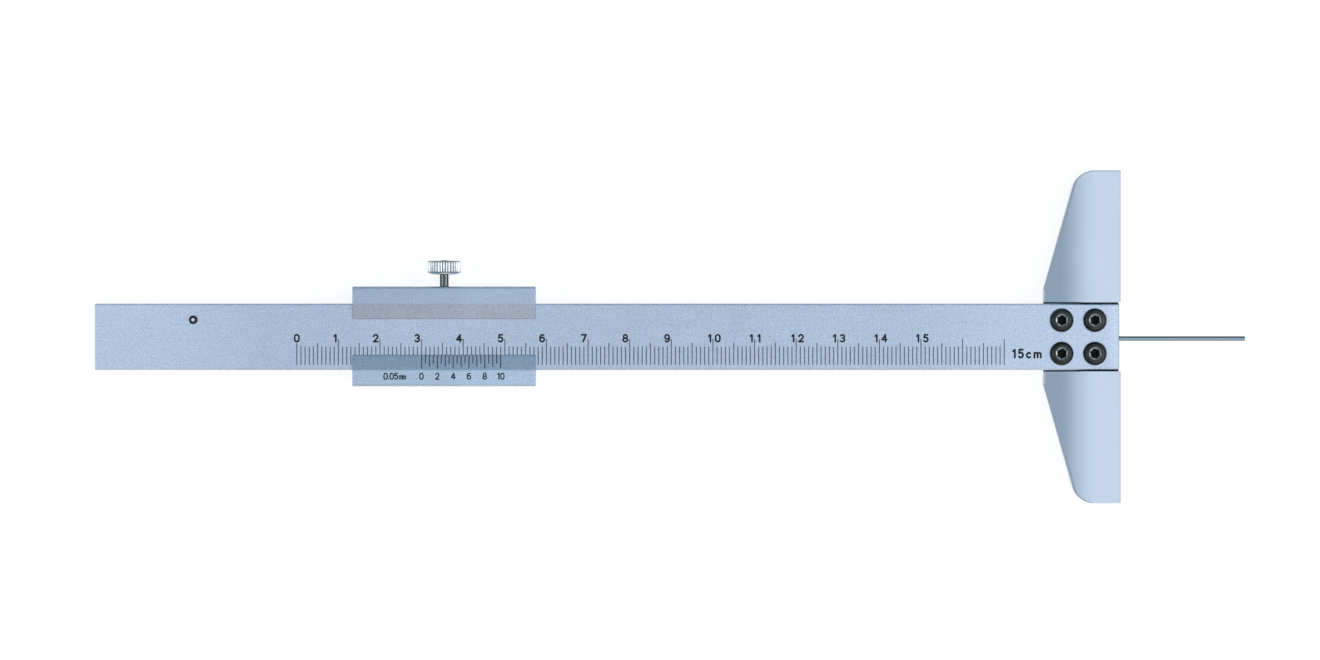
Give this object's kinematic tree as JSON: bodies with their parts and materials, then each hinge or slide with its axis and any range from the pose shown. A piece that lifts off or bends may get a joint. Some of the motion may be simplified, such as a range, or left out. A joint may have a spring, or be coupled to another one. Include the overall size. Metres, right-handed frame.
{
  "type": "depth gauge",
  "caption": "Vernier depth gauge: graduated beam screwed to a tapered T base, bevelled slider with a knurled clamp screw and a thin round measuring rod.",
  "frame": {"origin": "middle of the gauge's length and width, on the plane of the base's back face, with the rod standing 30 mm out", "axes": "+X along the beam towards the tip of the measuring rod, +Y towards the clamp knob, +Z out of the graduated face"},
  "size_m": [0.2764, 0.08, 0.0105],
  "materials": {
    "base_steel": "hardened stainless steel, fine satin grind",
    "beam_steel": "hardened stainless steel, satin chrome",
    "slider_steel": "hardened stainless steel, satin chrome",
    "plate_steel": "ground steel plate",
    "rod_steel": "polished hardened steel rod",
    "holder_steel": "machined steel",
    "knob_chrome": "bright chrome over knurled steel",
    "black_oxide": "black oxide",
    "small_screw_steel": "bright steel, slotted",
    "spring_bronze": "rolled phosphor bronze"
  },
  "bodies": {
    "gauge_body": {"base": "base_steel", "beam": "beam_steel", "base_screw_1": "black_oxide", "base_screw_2": "black_oxide", "base_screw_3": "black_oxide", "base_screw_4": "black_oxide", "stop_screw": "black_oxide"},
    "slide": {"slider_body": "slider_steel", "slider_back_plate": "plate_steel", "back_plate_screw_1": "small_screw_steel", "back_plate_screw_2": "small_screw_steel", "back_plate_screw_3": "small_screw_steel", "back_plate_screw_4": "small_screw_steel", "measuring_rod": "rod_steel", "rod_holder": "holder_steel", "rod_rivet_1": "small_screw_steel", "rod_rivet_2": "small_screw_steel"},
    "gib": {"gib_spring": "spring_bronze"},
    "clamp": {"clamp_screw": "knob_chrome"}
  },
  "joints": [
    {"name": "slider_travel", "type": "slide", "parent": "gauge_body", "child": "slide", "axis": [1, 0, 0], "range_m": [-0.0372, 0.122]},
    {"name": "clamp_lift", "type": "slide", "parent": "slide", "child": "gib", "axis": [0, 1, 0], "range_m": [0, 0.00045]},
    {"name": "clamp_turn", "type": "hinge", "parent": "gib", "child": "clamp", "pos_m": [-0.05435, 0.012, 0.0065], "axis": [0, 1, 0], "range_deg": [0, 360]}
  ],
  "couplings": [
    {"joint": "clamp_turn", "follows": "clamp_lift", "rad_per_m": 13963}
  ]
}
